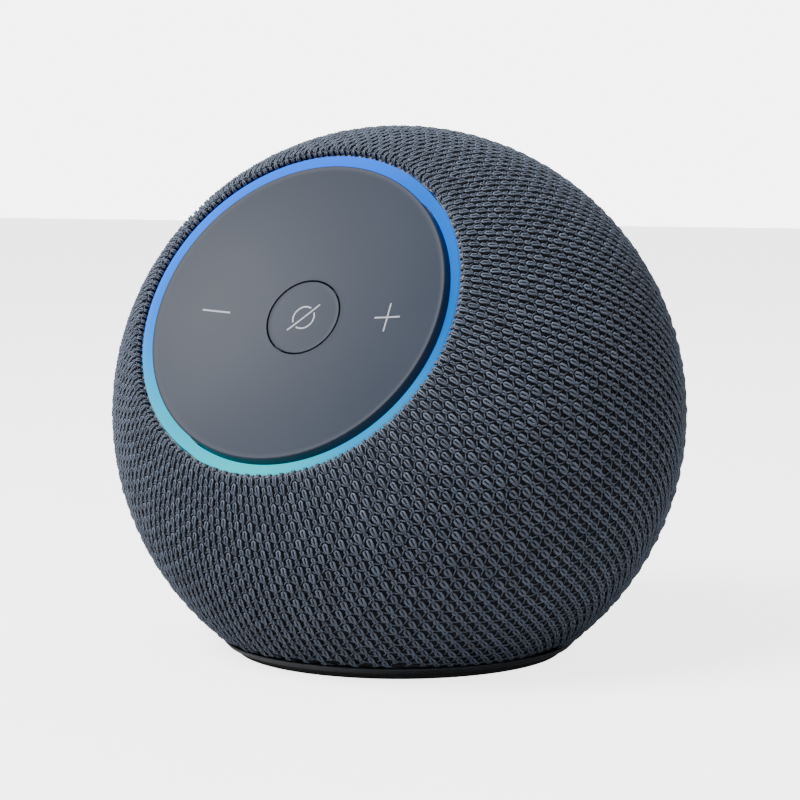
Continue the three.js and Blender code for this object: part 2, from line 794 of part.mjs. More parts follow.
function wooferRoute() {
  return [
    new THREE.Vector3(magnetRadius + 3, 0, basketTop - 3),
    new THREE.Vector3(magnetRadius + 6, 0, basketTop),
    new THREE.Vector3(magnetRadius + 7, -3, basketTop + 9),
    ...arrival(17, 8),
  ];
}

// The tweeter's terminal sits high enough on its back for the lead to pass over the woofer's gasket.
function tweeterRoute() {
  const side = 5;
  const overGasket = baffleHeight + leadRadius + leadRoom;
  const lift = Math.max(0, overGasket - fromTweeter(side, 0, tweeterBack - 4).z);
  return [
    fromTweeter(side, lift, tweeterBack - seatGap),
    fromTweeter(side, lift, tweeterBack - 4),
    ...arrival(side, -18),
  ];
}

function addLeads() {
  place(root, "power_lead", lead(powerRoute()), rubber);
  place(root, "woofer_lead", lead(wooferRoute()), rubber);
  place(root, "tweeter_lead", lead(tweeterRoute()), rubber);
}

// Two flat antennas behind the rear housing's crown.
function addAntennas() {
  for (const [name, side] of [
    ["antenna_left", -1],
    ["antenna_right", 1],
  ]) {
    const direction = new THREE.Vector3(side * 0.55, 0.5, 0.67).normalize();
    const mesh = place(middle, name, block(20, 7, 0.8), board);
    mesh.quaternion.setFromUnitVectors(new THREE.Vector3(0, 0, 1), direction);
    mesh.position.copy(direction.multiplyScalar(housingInside - 2.4));
  }
}

addFabricSleeve();
addHousings();
addBase();
addPanelFrame();
addLightRing();
addControlPanel();
addMuteButton();
addSwitch();
addTouchPads();
addControlBoard();
addMainBoard();
addBaffle();
addBasket();
addMotor();
addCone();
addSuspension();
addTweeter();
addInlet();
addLeads();
addAntennas();

export default root;
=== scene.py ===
import json
import math

import bmesh
import bpy
import numpy as np
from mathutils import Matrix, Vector


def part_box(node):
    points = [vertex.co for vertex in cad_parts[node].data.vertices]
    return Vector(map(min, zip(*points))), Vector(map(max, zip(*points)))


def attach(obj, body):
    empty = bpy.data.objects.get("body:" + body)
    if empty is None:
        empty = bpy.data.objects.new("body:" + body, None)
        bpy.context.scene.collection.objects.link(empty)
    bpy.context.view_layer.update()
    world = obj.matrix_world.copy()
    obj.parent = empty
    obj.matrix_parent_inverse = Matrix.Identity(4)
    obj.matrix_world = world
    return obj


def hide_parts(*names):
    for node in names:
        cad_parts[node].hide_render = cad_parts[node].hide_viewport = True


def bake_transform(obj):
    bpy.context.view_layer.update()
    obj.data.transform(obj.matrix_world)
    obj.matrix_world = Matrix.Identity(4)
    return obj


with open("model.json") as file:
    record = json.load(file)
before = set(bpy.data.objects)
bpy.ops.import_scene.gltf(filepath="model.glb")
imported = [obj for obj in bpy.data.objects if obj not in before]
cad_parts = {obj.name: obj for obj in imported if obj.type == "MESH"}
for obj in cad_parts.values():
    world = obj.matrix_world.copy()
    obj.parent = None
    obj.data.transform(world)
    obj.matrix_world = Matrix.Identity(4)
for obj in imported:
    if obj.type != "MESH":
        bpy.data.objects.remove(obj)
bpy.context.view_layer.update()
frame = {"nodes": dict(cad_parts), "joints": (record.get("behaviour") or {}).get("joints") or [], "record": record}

mm = 0.001
tiny = 1e-9  # keeps a length from dividing by nothing
print("frame loaded")

# The part's own axes, read from the frame: the ball's middle, and the panel's axis out of its face, which
# the button is pressed against
sleeveLow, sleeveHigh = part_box("fabric_sleeve")
ballRadius = sleeveHigh.x
ballCentre = np.array([0.0, 0.0, sleeveHigh.z - ballRadius])
hemHeight = sleeveLow.z
press = next(j for j in frame["joints"] if j["name"] == "mute_button_press")
panelAxis = -np.array(press["axis"]) / np.linalg.norm(press["axis"])
panelRight = np.array([1.0, 0.0, 0.0])
panelUp = np.cross(panelAxis, panelRight)


# How far a CAD node reaches round and along an axis through a point
def reach(node, axis=panelAxis, origin=ballCentre):
    mesh = frame["nodes"][node].data
    points = np.empty(len(mesh.vertices) * 3, np.float32)
    mesh.vertices.foreach_get("co", points)
    offset = points.reshape(-1, 3).astype(float) - origin
    along = offset @ axis
    around = np.linalg.norm(offset - along[:, None] * axis, axis=1)
    return {"low": along.min(), "high": along.max(), "inner": around.min(), "outer": around.max()}


ringReach = reach("light_ring")
panelReach = reach("control_panel")
buttonReach = reach("mute_button")
upright = np.array([0.0, 0.0, 1.0])
baseReach = reach("base_cover", upright, np.zeros(3))
footReach = reach("foot_ring", upright, np.zeros(3))

# The camera, lights and floor
view = {
    "azimuth": 29.7,
    "elevation": 5.8,
    "distanceInRadii": 8.5,
    "lens": 109.4,
    "shiftX": 0.00055,
    "shiftY": 0.0159,
    "clipStart": 0.01,
}
studio = {
    "floorHalf": 3.0,
    "floorTone": (0.94, 0.94, 0.95),
    "floorShade": (0.5, 0.52),  # shares of the tone that the floor gives back
    # only as the camera sees it, so that the floor stays pale without lighting the object from below
    "floorGlow": 3.4,
    "world": (1.0, 1.0, 1.0),
    "worldStrength": 0.62,
    "backdropStrength": 6.0,
    "key": {"at": (-0.3, -0.66, 0.86), "size": 0.55, "power": 38.0, "tint": (1.0, 0.99, 0.98)},
    "fill": {"at": (0.75, -0.62, 0.3), "size": 0.6, "power": 1.2, "tint": (0.93, 0.96, 1.0)},
    "rim": {"at": (0.1, 0.75, 0.8), "size": 0.5, "power": 3.0, "tint": (1.0, 1.0, 1.0)},
}


# The direction from the target back to the camera: azimuth 0 is in front, on -Y
def backTo(azimuth, elevation):
    a, e = math.radians(azimuth), math.radians(elevation)
    return Vector((math.sin(a) * math.cos(e), -math.cos(a) * math.cos(e), math.sin(e)))


def makeCamera():
    camera = bpy.data.objects.new("camera", bpy.data.cameras.new("camera"))
    back = backTo(view["azimuth"], view["elevation"])
    camera.location = Vector(ballCentre) + back * view["distanceInRadii"] * ballRadius
    camera.rotation_mode = "QUATERNION"
    camera.rotation_quaternion = (-back).to_track_quat("-Z", "Y")
    camera.data.lens = view["lens"]
    camera.data.shift_x = view["shiftX"]
    camera.data.shift_y = view["shiftY"]
    camera.data.clip_start = view["clipStart"]
    bpy.context.scene.collection.objects.link(camera)
    bpy.context.scene.camera = camera


def makeLight(name, facts):
    data = bpy.data.lights.new(name, "AREA")
    data.shape = "DISK"
    data.size = facts["size"]
    data.energy = facts["power"]
    data.color = facts["tint"]
    light = bpy.data.objects.new(name, data)
    light.location = facts["at"]
    light.rotation_mode = "QUATERNION"
    aim = Vector(ballCentre) - Vector(facts["at"])
    light.rotation_quaternion = aim.to_track_quat("-Z", "Y")
    bpy.context.scene.collection.objects.link(light)


# Shader helpers: a new node with its settings, values for a node's inputs, and links from output to input
def addNode(tree, kind, **values):
    node = tree.nodes.new(kind)
    for key, value in values.items():
        setattr(node, key, value)
    return node


def setInputs(node, values):
    for key, value in values.items():
        node.inputs[key].default_value = value


def wire(tree, *links):
    for source, output, target, entry in links:
        tree.links.new(source.outputs[output], target.inputs[entry])


# A soft white room, with a brighter backdrop behind the object
def makeWorld():
    world = bpy.data.worlds.new("studio")
    world.use_nodes = True
    tree = world.node_tree
    room = tree.nodes["Background"]
    backdrop = addNode(tree, "ShaderNodeBackground")
    path = addNode(tree, "ShaderNodeLightPath")
    choose = addNode(tree, "ShaderNodeMixShader")
    for node, strength in ((room, "worldStrength"), (backdrop, "backdropStrength")):
        setInputs(node, {"Color": (*studio["world"], 1), "Strength": studio[strength]})
    wire(
        tree,
        (path, "Is Camera Ray", choose, "Fac"),
        (room, "Background", choose, 1),
        (backdrop, "Background", choose, 2),
        (choose, "Shader", tree.nodes["World Output"], "Surface"),
    )
    bpy.context.scene.world = world


makeCamera()
makeWorld()
for lightName in ("key", "fill", "rim"):
    makeLight(lightName, studio[lightName])
print("camera and lights made")


# Mesh helpers
def meshFrom(name, points, faces, smooth=True):
    mesh = bpy.data.meshes.new(name)
    mesh.from_pydata(np.asarray(points, float).tolist(), [], [tuple(f) for f in faces])
    mesh.polygons.foreach_set("use_smooth", [smooth] * len(mesh.polygons))
    mesh.validate()
    mesh.update()
    piece = bpy.data.objects.new(name, mesh)
    bpy.context.scene.collection.objects.link(piece)
    return piece


# Quads of a grid of points: each row is closed round, and the last row joins the first if asked
def gridFaces(rows, across, closeRows=False):
    i = np.arange(rows if closeRows else rows - 1)[:, None]
    j = np.arange(across)[None, :]
    nextRow, nextOne = (i + 1) % rows, (j + 1) % across
    corners = [i * across + j, i * across + nextOne, nextRow * across + nextOne, nextRow * across + j]
    return np.stack(corners, -1).reshape(-1, 4)


weld = 0.001 * mm  # points nearer than this are one point


# Merges what lies on the axis, drops faces with no area and points all faces outwards
def tidyMesh(piece):
    work = bmesh.new()
    work.from_mesh(piece.data)
    bmesh.ops.remove_doubles(work, verts=work.verts, dist=weld)
    bmesh.ops.dissolve_degenerate(work, edges=work.edges, dist=weld)
    bmesh.ops.recalc_face_normals(work, faces=work.faces)
    work.to_mesh(piece.data)
    work.free()
    return piece


# A round piece: each [radius, height] of the outline is carried round the axis. The outline closes on itself.
def turned(name, outline, steps=160, axis=panelAxis, right=panelRight, origin=ballCentre):
    outline = np.asarray(outline, float)
    up = np.cross(axis, right)
    angle = np.linspace(0, 2 * np.pi, steps, endpoint=False)
    outward = np.cos(angle)[:, None] * right + np.sin(angle)[:, None] * up
    points = origin + outline[:, 0, None, None] * outward + outline[:, 1, None, None] * axis
    faces = gridFaces(len(outline), steps, closeRows=True)
    piece = meshFrom(name, points.reshape(-1, 3), faces)
    flat = piece.data.uv_layers.new(name="turn")
    # u is the share of a turn and v the share of the outline
    row = np.repeat(np.arange(len(outline)), steps) / len(outline)
    column = np.tile(np.arange(steps), len(outline)) / steps
    loops = np.empty(len(piece.data.loops), np.int32)
    piece.data.loops.foreach_get("vertex_index", loops)
    u, v = column[loops], row[loops]
    corner = u.reshape(-1, 4)
    wraps = corner.max(1) - corner.min(1) > 0.5
    corner[wraps] = np.where(corner[wraps] < 0.5, corner[wraps] + 1, corner[wraps])
    flat.data.foreach_set("uv", np.stack([corner.reshape(-1), v], -1).reshape(-1).astype(np.float32))
    return tidyMesh(piece)


# Rounds the corners of an outline: each [radius, height, round] with a round gets a short parabola
def rounded(corners, steps=4):
    corners = np.asarray(corners, float)
    points = []
    for before, corner, after in zip(np.roll(corners, 1, 0), corners, np.roll(corners, -1, 0)):
        bend = corner[2]
        if bend == 0:
            points.append(corner[:2])
            continue
        a, b = before[:2] - corner[:2], after[:2] - corner[:2]
        start = corner[:2] + a / np.linalg.norm(a) * min(bend, np.linalg.norm(a) / 2)
        end = corner[:2] + b / np.linalg.norm(b) * min(bend, np.linalg.norm(b) / 2)
        t = np.linspace(0, 1, steps + 1)[:, None]
        points.extend((1 - t) ** 2 * start + 2 * t * (1 - t) * corner[:2] + t**2 * end)
    return np.array(points)


def smoothAll(piece):
    piece.data.polygons.foreach_set("use_smooth", [True] * len(piece.data.polygons))


# Keeps the hard edges of a turned or cut piece hard and the rest smooth
def sharpen(piece, degrees=35):
    work = bmesh.new()
    work.from_mesh(piece.data)
    for edge in work.edges:
        if len(edge.link_faces) == 2:
            edge.smooth = edge.calc_face_angle(0) < math.radians(degrees)
    work.to_mesh(piece.data)
    work.free()
    return piece


# Cuts the tools out of a piece, or keeps what they share, and removes the tools
def carve(piece, tools, operation="DIFFERENCE"):
    for tool in tools:
        modifier = piece.modifiers.new("carve", "BOOLEAN")
        modifier.operation = operation
        modifier.solver = "EXACT"
        modifier.object = tool
    graph = bpy.context.evaluated_depsgraph_get()
    mesh = bpy.data.meshes.new_from_object(piece.evaluated_get(graph))
    piece.modifiers.clear()
    piece.data = mesh
    for tool in tools:
        bpy.data.objects.remove(tool)
    return tidyMesh(piece)


# A cylinder: a rectangle from the axis out to the radius, carried round
def cylinder(name, radius, low, high, axis, right, origin, steps=72):
    outline = [(0, low), (radius, low), (radius, high), (0, high)]
    return turned(name, outline, steps, axis, right, origin)


# Shared shader groups
def makeGroup(name, inputs, outputs):
    group = bpy.data.node_groups.new(name, "ShaderNodeTree")
    for socketName, kind, value in inputs:
        socket = group.interface.new_socket(name=socketName, in_out="INPUT", socket_type=kind)
        socket.default_value = value
    for socketName, kind in outputs:
        group.interface.new_socket(name=socketName, in_out="OUTPUT", socket_type=kind)
    return group


# Moulded grain: fine cells and soft clouds give a height and a mask of lighter and darker places
def makeGrainGroup():
    inputs = [("Size", "NodeSocketFloat", 1500.0), ("Cloud", "NodeSocketFloat", 60.0)]
    group = makeGroup("mouldedGrain", inputs, [("Height", "NodeSocketFloat"), ("Mask", "NodeSocketFloat")])
    ins = addNode(group, "NodeGroupInput")
    outs = addNode(group, "NodeGroupOutput")
    place = addNode(group, "ShaderNodeTexCoord")
    cells = addNode(group, "ShaderNodeTexVoronoi", feature="SMOOTH_F1")
    speck = addNode(group, "ShaderNodeTexNoise")
    cloud = addNode(group, "ShaderNodeTexNoise")
    blend = addNode(group, "ShaderNodeMix", data_type="FLOAT")
    setInputs(speck, {"Detail": 3})
    setInputs(cloud, {"Detail": 4})
    setInputs(blend, {"Factor": 0.5})
    for node, size in ((cells, "Size"), (speck, "Size"), (cloud, "Cloud")):
        wire(group, (place, "Object", node, "Vector"), (ins, size, node, "Scale"))
    wire(
        group,
        (cells, "Distance", blend, 2),
        (speck, 0, blend, 3),
        (blend, 0, outs, "Height"),
        (cloud, 0, outs, "Mask"),
    )
    return group


grainGroup = makeGrainGroup()


# A finish with two close tones, a roughness that wanders between two values, and a fine bump
def makeFinish(name, look):
    material = bpy.data.materials.new(name)
    material.use_nodes = True
    tree = material.node_tree
    shader = tree.nodes["Principled BSDF"]
    grain = addNode(tree, "ShaderNodeGroup", node_tree=grainGroup)
    setInputs(grain, {"Size": look.get("grain", 1500), "Cloud": look.get("cloud", 60)})
    tone = addNode(tree, "ShaderNodeValToRGB")
    for element, place, shade in zip(tone.color_ramp.elements, (0.3, 0.7), ("dark", "light")):
        element.position = place
        element.color = (*look[shade], 1)
    rough = addNode(tree, "ShaderNodeMapRange")
    low, high = look["rough"]
    setInputs(rough, {"From Min": 0.25, "From Max": 0.75, "To Min": low, "To Max": high})
    bump = addNode(tree, "ShaderNodeBump")
    setInputs(bump, {"Strength": look.get("bump", 0.15), "Distance": look.get("depth", 0.05) * mm})
    wire(
        tree,
        (grain, "Mask", tone, "Fac"),
        (grain, "Mask", rough, "Value"),
        (grain, "Height", bump, "Height"),
        (tone, "Color", shader, "Base Color"),
        (rough, "Result", shader, "Roughness"),
        (bump, "Normal", shader, "Normal"),
    )
    setInputs(shader, {"Metallic": look.get("metal", 0), "Specular IOR Level": look.get("gloss", 0.5)})
    return material


finishes = {
    "panel_plastic": {"dark": (0.015, 0.020, 0.030), "light": (0.018, 0.023, 0.034), "rough": (0.45, 0.51),
                      "grain": 5200, "bump": 0.12, "depth": 0.02, "cloud": 40, "gloss": 0.10},
    "dark_plastic": {"dark": (0.008, 0.010, 0.014), "light": (0.012, 0.014, 0.019), "rough": (0.42, 0.55),
                     "grain": 3000, "bump": 0.3, "depth": 0.04},
    "inner_plastic": {"dark": (0.028, 0.030, 0.036), "light": (0.036, 0.038, 0.045), "rough": (0.5, 0.62),
                      "grain": 2200, "bump": 0.2},
    "rubber": {"dark": (0.006, 0.006, 0.007), "light": (0.010, 0.010, 0.011), "rough": (0.72, 0.88),
               "grain": 2600, "bump": 0.5, "depth": 0.08},
    "steel": {"dark": (0.50, 0.51, 0.53), "light": (0.62, 0.63, 0.65), "rough": (0.25, 0.42), "metal": 1,
              "grain": 1800, "cloud": 220},
    "aluminium": {"dark": (0.66, 0.67, 0.69), "light": (0.76, 0.77, 0.79), "rough": (0.3, 0.45), "metal": 1},
    "ferrite": {"dark": (0.022, 0.022, 0.024), "light": (0.034, 0.034, 0.036), "rough": (0.6, 0.75),
                "bump": 0.4},
    "cone_paper": {"dark": (0.030, 0.028, 0.024), "light": (0.044, 0.041, 0.035), "rough": (0.85, 0.95),
                   "grain": 900, "bump": 0.6, "depth": 0.1},
    "spider_cloth": {"dark": (0.24, 0.17, 0.05), "light": (0.32, 0.23, 0.08), "rough": (0.8, 0.9),
                     "grain": 1200, "bump": 0.6, "depth": 0.1},
    "copper": {"dark": (0.60, 0.26, 0.12), "light": (0.72, 0.34, 0.17), "rough": (0.25, 0.4), "metal": 1},
    "circuit_board": {"dark": (0.010, 0.060, 0.030), "light": (0.016, 0.085, 0.042), "rough": (0.3, 0.42)},
    "lens": {"dark": (0.78, 0.78, 0.73), "light": (0.86, 0.86, 0.81), "rough": (0.18, 0.28), "bump": 0.05},
}
slotFinish = {name: makeFinish(name, look) for name, look in finishes.items()}
print("finishes made")

# The knitted sleeve: columns of stitches run from the panel's opening to the hem at the base
knit = {
    "columns": 176,
    "period": 3.45 * mm,  # one large and one small loop along a column
    "lipRound": 1.1 * mm,  # where the cloth rolls into the opening
    "lipGap": 0.12 * mm,  # from the light ring's edge to the cloth
    "lipDepth": 0.7 * mm,  # how far the cloth goes down behind the ring's edge
    "step": 0.25 * mm,
    "longest": 150 * mm,
    "bendFrom": 84.0,  # degrees from the panel's axis where columns begin to turn to the hem
    "bendTo": 138.0,
    "hemRoom": 0.12 * mm,  # yarn stays this far above the hem
    "hemClear": 0.2 * mm,  # stitches begin at least this far above it
    "inletRoom": 0.15 * mm,  # yarn stays this far outside the inlet's hole
    "inletClear": 0.4 * mm,  # stitches have their middles at least this far outside it
    "startOffset": 0.15 * mm,
    "firstHalf": 0.6,  # the share of the first stitch that may be missing
    "fullSpacing": 1.62 * mm,  # between columns, for a loop of its full width
    "fitRange": (0.55, 1.12),
    "yarnHeight": 0.42,  # half the section's height, as a share of the yarn's width
    "loopBulge": 1.15,  # makes up for the width that the point takes away
    "linkStart": 0.1 * mm,  # from the column's middle
    "parts": 6,
    "seed": 7,
}
# how much one stitch differs from the next
variation = {"stretch": 0.04, "widen": 0.05, "lean": 0.045, "raised": 0.035 * mm}


# The line of a column in its own plane: straight up the wall of the opening, then an arc of lipRound that
# touches both the wall and the ball
def lipLine():
    wall = ringReach["outer"] + knit["lipGap"]
    bend = knit["lipRound"]
    bendRadius = wall + bend
    bendHeight = math.sqrt((ballRadius - bend) ** 2 - bendRadius**2)
    start = ringReach["high"] - knit["lipDepth"]
    rise = max(bendHeight - start, 0)
    tilt = math.asin(bendRadius / (ballRadius - bend))
    sweep = math.pi / 2 + tilt  # from facing the axis round to the ball's own normal
    count = int((rise + sweep * bend) / knit["step"])
    s = np.arange(count) * knit["step"]
    around = np.clip((s - rise) / bend, 0, None)
    radius = bendRadius - bend * np.cos(around)
    height = np.where(s < rise, start + s, bendHeight + bend * np.sin(around))
    outR, outH = -np.cos(around), np.where(s < rise, 0.0, np.sin(around))
    outR = np.where(s < rise, -1.0, outR)
    return radius, height, outR, outH, tilt


# Points, outward normals and sideways directions along every column. Past the lip a column steps over the
# ball in even lengths, straight away from the panel and then, past bendFrom, ever more straight down.
def columnTable():
    angle = np.arange(knit["columns"]) * 2 * np.pi / knit["columns"]
    outward = np.cos(angle)[:, None] * panelUp + np.sin(angle)[:, None] * panelRight
    radius, height, outR, outH, tilt = lipLine()
    lip = radius[:, None, None] * outward + height[:, None, None] * panelAxis
    lipNormal = outR[:, None, None] * outward + outH[:, None, None] * panelAxis
    here = math.sin(tilt) * outward + math.cos(tilt) * panelAxis
    places, normals = [*lip], [*lipNormal]
    down = -upright
    for _ in range(int(knit["longest"] / knit["step"])):
        places.append(here * ballRadius)
        normals.append(here)
        away = (here @ panelAxis)[:, None] * here - panelAxis
        toHem = down - (here @ down)[:, None] * here
        away /= np.maximum(np.linalg.norm(away, axis=1, keepdims=True), tiny)
        toHem /= np.maximum(np.linalg.norm(toHem, axis=1, keepdims=True), tiny)
        degrees = np.degrees(np.arccos(np.clip(here @ panelAxis, -1, 1)))
        t = np.clip((degrees - knit["bendFrom"]) / (knit["bendTo"] - knit["bendFrom"]), 0, 1)
        share = (t * t * (3 - 2 * t))[:, None]
        heading = (1 - share) * away + share * toHem
        heading -= (heading * here).sum(1, keepdims=True) * here
        heading /= np.linalg.norm(heading, axis=1, keepdims=True)
        here = here + heading * knit["step"] / ballRadius
        here /= np.linalg.norm(here, axis=1, keepdims=True)
    places = np.stack(places, 1) + ballCentre  # columns, steps, xyz
    normals = np.stack(normals, 1)
    along = np.gradient(places, axis=1)
    along /= np.maximum(np.linalg.norm(along, axis=2, keepdims=True), tiny)
    sideways = np.cross(normals, along)
    between = np.roll(places, -1, 0) - np.roll(places, 1, 0)
    spacing = np.abs((between * sideways).sum(2)) / 2
    return {"place": places, "normal": normals, "side": sideways, "spacing": spacing}


columns = columnTable()


# Reads a table at column numbers and at lengths along the column, between its steps
def readTable(table, column, length):
    at = np.clip(length / knit["step"], 0, table.shape[1] - 1.001)
    low = at.astype(int)
    part = at - low
    if table.ndim == 3:
        part = part[..., None]
    return table[column, low] * (1 - part) + table[column, low + 1] * part


# The power inlet's axis runs to the rear
rearward = np.array([0.0, 1.0, 0.0])
behind = 0.08  # a place on that axis that lies behind the whole object
inletAxisHeight = (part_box("inlet_bezel")[0].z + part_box("inlet_bezel")[1].z) / 2
inletAt = np.array([0.0, 0.0, inletAxisHeight])
inletHole = reach("inlet_bezel", rearward, inletAt)["outer"]


# A loop of yarn: a closed teardrop in the cloth's plane, round end towards the panel, with a flat diamond
# section. a, along the column, is a cosine. b, across it, is a sine narrowed towards the point. h, above the
# cloth, dips by the cube of the distance from the middle, because loops interlock at their ends.
def loopShape(length, width, yarn, lift, dip, points, point):
    t = np.linspace(0, 2 * np.pi, points, endpoint=False)
    a = length * (1 - np.cos(t)) / 2
    b = width / 2 * np.sin(t) * (1 - point * (1 - np.cos(t)) / 2) * knit["loopBulge"]
    h = lift - dip * (np.abs(2 * a / length - 1) ** 3)
    centre = np.stack([a, b, h], -1)
    ahead = np.roll(centre, -1, 0) - np.roll(centre, 1, 0)
    out = np.stack([ahead[:, 1], -ahead[:, 0], np.zeros(points)], -1)
    out /= np.linalg.norm(out, axis=1, keepdims=True)
    up = np.array([0.0, 0.0, 1.0])
    high = up * yarn * knit["yarnHeight"]
    ring = [out * yarn / 2, high, -out * yarn / 2, -high]
    section = np.stack([centre + r for r in ring], 1)
    faces = gridFaces(points, 4, closeRows=True)
    return section.reshape(-1, 3), faces[:, ::-1]


loops = {
    "large": {"length": 2.15 * mm, "width": 0.86 * mm, "yarn": 0.45 * mm, "lift": -0.20 * mm,
              "dip": 0.36 * mm, "points": 8, "point": 0.75, "offset": 0.0},
    "small": {"length": 1.15 * mm, "width": 0.62 * mm, "yarn": 0.40 * mm, "lift": -0.30 * mm,
              "dip": 0.22 * mm, "points": 6, "point": 0.4, "offset": 2.12 * mm},
    "link": {"length": 0.95 * mm, "width": 1.20 * mm, "yarn": 0.36 * mm, "lift": -0.58 * mm,
             "dip": 0.10 * mm, "points": 3, "offset": 2.90 * mm},
}


# A link of yarn lies lower, from a stitch across to the next column: rings of a diamond section along a
# straight line that dips by the square of the distance from its middle, capped at both ends
def linkShape(length, width, yarn, lift, dip, points):
    t = np.linspace(0, 1, points)
    centre = np.stack([length * t, knit["linkStart"] + width * t, lift - dip * (2 * t - 1) ** 2], -1)
    high = knit["yarnHeight"]
    ring = np.array([[0.5, 0, 0], [0, 0, high], [-0.5, 0, 0], [0, 0, -high]]) * yarn
    section = centre[:, None] + ring
    last = 4 * (points - 1)
    caps = np.array([[3, 2, 1, 0], [last, last + 1, last + 2, last + 3]])
    faces = np.concatenate([gridFaces(points, 4), caps])
    return section.reshape(-1, 3), faces[:, ::-1]


# All stitches: a column and a start length for each, half a period later on every second column
def stitchPlaces():
    rows = int(knit["longest"] / knit["period"]) + 1
    column, row = np.meshgrid(np.arange(knit["columns"]), np.arange(rows) - 1, indexing="ij")
    start = (row + 0.5 * (column % 2)) * knit["period"] + knit["startOffset"]
    column, start = column.reshape(-1), start.reshape(-1)
    middle = readTable(columns["place"], column, start + knit["period"] / 2)
    first = readTable(columns["place"], column, start)
    reached = np.minimum(first[:, 2], middle[:, 2]) > hemHeight + knit["hemClear"]
    # a column ends where it first meets the hem
    table = reached.reshape(knit["columns"], rows)
    stopped = (np.cumsum(~table, axis=1) > 0).reshape(-1)
    away = np.hypot(middle[:, 0], middle[:, 2] - inletAxisHeight)
    atInlet = (away < inletHole + knit["inletClear"]) & (middle[:, 1] > 0)
    keep = ~stopped & ~atInlet & (start > -knit["firstHalf"] * knit["period"])
    return column[keep], start[keep]


# Yarn points are held above the hem and outside the inlet's hole
def holdInside(points):
    floor = hemHeight + knit["hemRoom"]
    points[..., 2] = np.maximum(points[..., 2], floor)
    x, z = points[..., 0], points[..., 2] - inletAxisHeight
    away = np.hypot(x, z)
    hole = inletHole + knit["inletRoom"]
    push = (away < hole) & (points[..., 1] > 0)
    scale = np.where(push, hole / np.maximum(away, tiny), 1)
    points[..., 0] = x * scale
    points[..., 2] = z * scale + inletAxisHeight
    return points


# One kind of loop at every stitch: its points are read on to the cloth, each stitch a little different
def layLoops(kind, column, start, random, mirror=False):
    facts = loops[kind]
    whole = start + facts["offset"] > 0
    column, start = column[whole], start[whole]
    sizes = [facts[k] for k in ("length", "width", "yarn", "lift", "dip", "points", "point") if k in facts]
    shape, faces = linkShape(*sizes) if kind == "link" else loopShape(*sizes)
    if mirror:
        shape = shape * np.array([1.0, -1.0, 1.0])
        faces = faces[:, ::-1]
    count = len(column)
    stretch = 1 + variation["stretch"] * random.standard_normal(count)[:, None]
    widen = 1 + variation["widen"] * random.standard_normal(count)[:, None]
    lean = variation["lean"] * random.standard_normal(count)[:, None]
    raised = variation["raised"] * random.standard_normal(count)[:, None]
    a = facts["offset"] + shape[None, :, 0] * stretch
    length = start[:, None] + a
    who = np.broadcast_to(column[:, None], length.shape)
    room = readTable(columns["spacing"], column, start + knit["period"] / 2)[:, None]
    fit = np.clip(room / knit["fullSpacing"], *knit["fitRange"])
    b = shape[None, :, 1] * widen * fit + lean * (shape[None, :, 0] - facts["length"] / 2)
    h = shape[None, :, 2] + raised
    points = readTable(columns["place"], who, length)
    points = points + b[..., None] * readTable(columns["side"], who, length)
    points = points + h[..., None] * readTable(columns["normal"], who, length)
    points = holdInside(points)
    allFaces = faces[None] + (np.arange(count) * len(shape))[:, None, None]
    tone = np.repeat(random.random(count), len(shape))
    return points.reshape(-1, 3), allFaces.reshape(-1, 4), tone


# The yarn in a few pieces, each one run of neighbouring columns
def makeKnitPieces():
    random = np.random.default_rng(knit["seed"])
    column, start = stitchPlaces()
    order = np.argsort(column, kind="stable")
    column, start = column[order], start[order]
    kinds = (("large", False), ("small", False), ("link", False), ("link", True))
    pieces = []
    for part, pick in enumerate(np.array_split(np.arange(len(column)), knit["parts"])):
        made = [layLoops(kind, column[pick], start[pick], random, mirror) for kind, mirror in kinds]
        points = np.concatenate([m[0] for m in made])
        starts = np.cumsum([0] + [len(m[0]) for m in made[:-1]])
        faces = np.concatenate([m[1] + first for m, first in zip(made, starts)])
        piece = meshFrom(f"knit_yarn_{part + 1}", points, faces)
        layer = piece.data.attributes.new("tone", "FLOAT", "POINT")
        layer.data.foreach_set("value", np.concatenate([m[2] for m in made]).astype(np.float32))
        pieces.append(piece)
    print("stitches", len(column), "faces", sum(len(p.data.polygons) for p in pieces))
    return pieces


shadeSheetShape = {"depth": 0.72 * mm, "thickness": 0.3 * mm, "rows": 110, "steps": 176, "hemGap": 0.05 * mm,
          "inletGap": 0.2 * mm, "cutFrom": 0.02}
